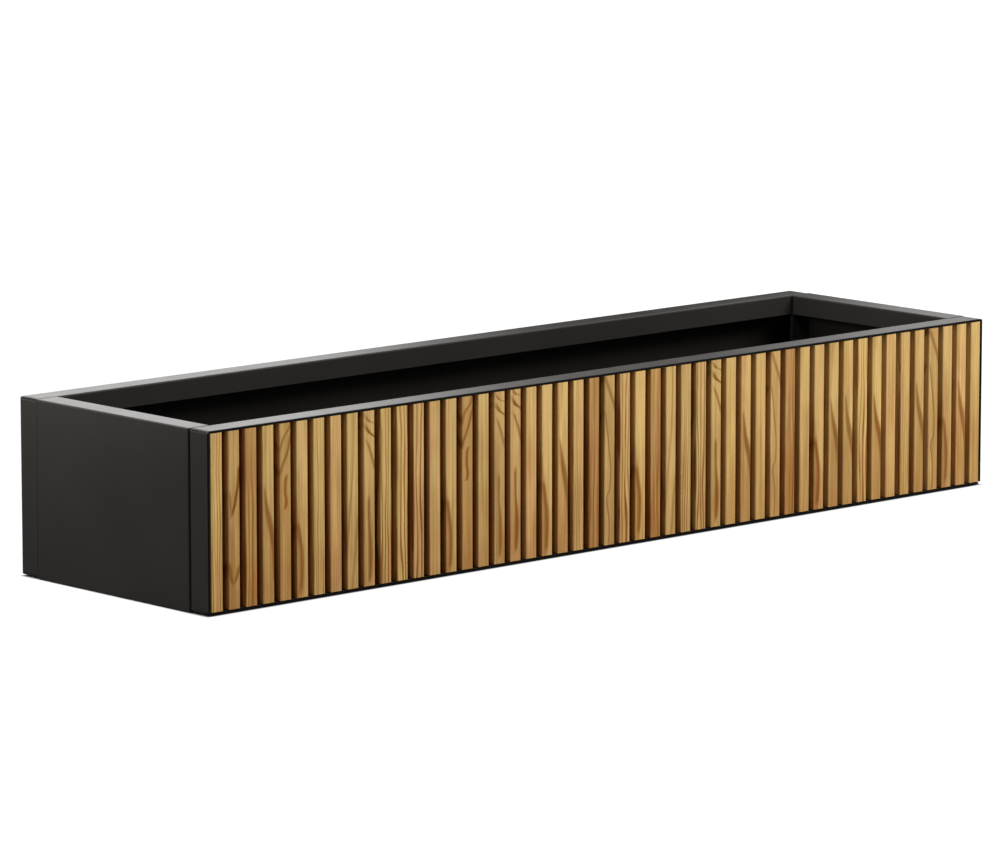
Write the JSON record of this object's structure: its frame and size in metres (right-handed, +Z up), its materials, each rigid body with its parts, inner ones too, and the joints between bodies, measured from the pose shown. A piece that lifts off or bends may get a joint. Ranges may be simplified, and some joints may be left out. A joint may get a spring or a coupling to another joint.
{
  "type": "planter box",
  "caption": "Long low planter box of folded dark coated sheet metal with an open top, broad inward rims and a front of upright wooden slats.",
  "frame": {"origin": "on the ground under the middle of the box", "axes": "+X along the length, +Y from the slatted front to the back, +Z up"},
  "size_m": [1.5, 0.4, 0.25],
  "materials": {
    "powder_coat": "fine satin powder coat, near black and slightly warm",
    "slat_wood": "oiled honey brown softwood with upright grain, each slat of its own tone",
    "zinc_steel": "zinc plated steel"
  },
  "bodies": {
    "root": {"front_tray": "powder_coat", "back_panel": "powder_coat", "left_end_panel": "powder_coat", "right_end_panel": "powder_coat", "floor_pan": "powder_coat", "cross_tie": "powder_coat", "stud_strip_front_left": "zinc_steel", "stud_strip_front_right": "zinc_steel", "stud_strip_back_left": "zinc_steel", "stud_strip_back_right": "zinc_steel", "slat_01": "slat_wood", "slat_02": "slat_wood", "slat_03": "slat_wood", "slat_04": "slat_wood", "slat_05": "slat_wood", "slat_06": "slat_wood", "slat_07": "slat_wood", "slat_08": "slat_wood", "slat_09": "slat_wood", "slat_10": "slat_wood", "slat_11": "slat_wood", "slat_12": "slat_wood", "slat_13": "slat_wood", "slat_14": "slat_wood", "slat_15": "slat_wood", "slat_16": "slat_wood", "slat_17": "slat_wood", "slat_18": "slat_wood", "slat_19": "slat_wood", "slat_20": "slat_wood", "slat_21": "slat_wood", "slat_22": "slat_wood", "slat_23": "slat_wood", "slat_24": "slat_wood", "slat_25": "slat_wood", "slat_26": "slat_wood", "slat_27": "slat_wood", "slat_28": "slat_wood", "slat_29": "slat_wood", "slat_30": "slat_wood", "slat_31": "slat_wood", "slat_32": "slat_wood", "slat_33": "slat_wood", "slat_34": "slat_wood", "slat_35": "slat_wood", "slat_36": "slat_wood", "slat_37": "slat_wood", "slat_38": "slat_wood", "slat_39": "slat_wood", "slat_40": "slat_wood", "slat_41": "slat_wood", "slat_42": "slat_wood", "slat_43": "slat_wood", "slat_44": "slat_wood", "slat_45": "slat_wood", "slat_46": "slat_wood", "slat_47": "slat_wood", "slat_48": "slat_wood", "slat_49": "slat_wood", "slat_50": "slat_wood"}
  },
  "joints": []
}
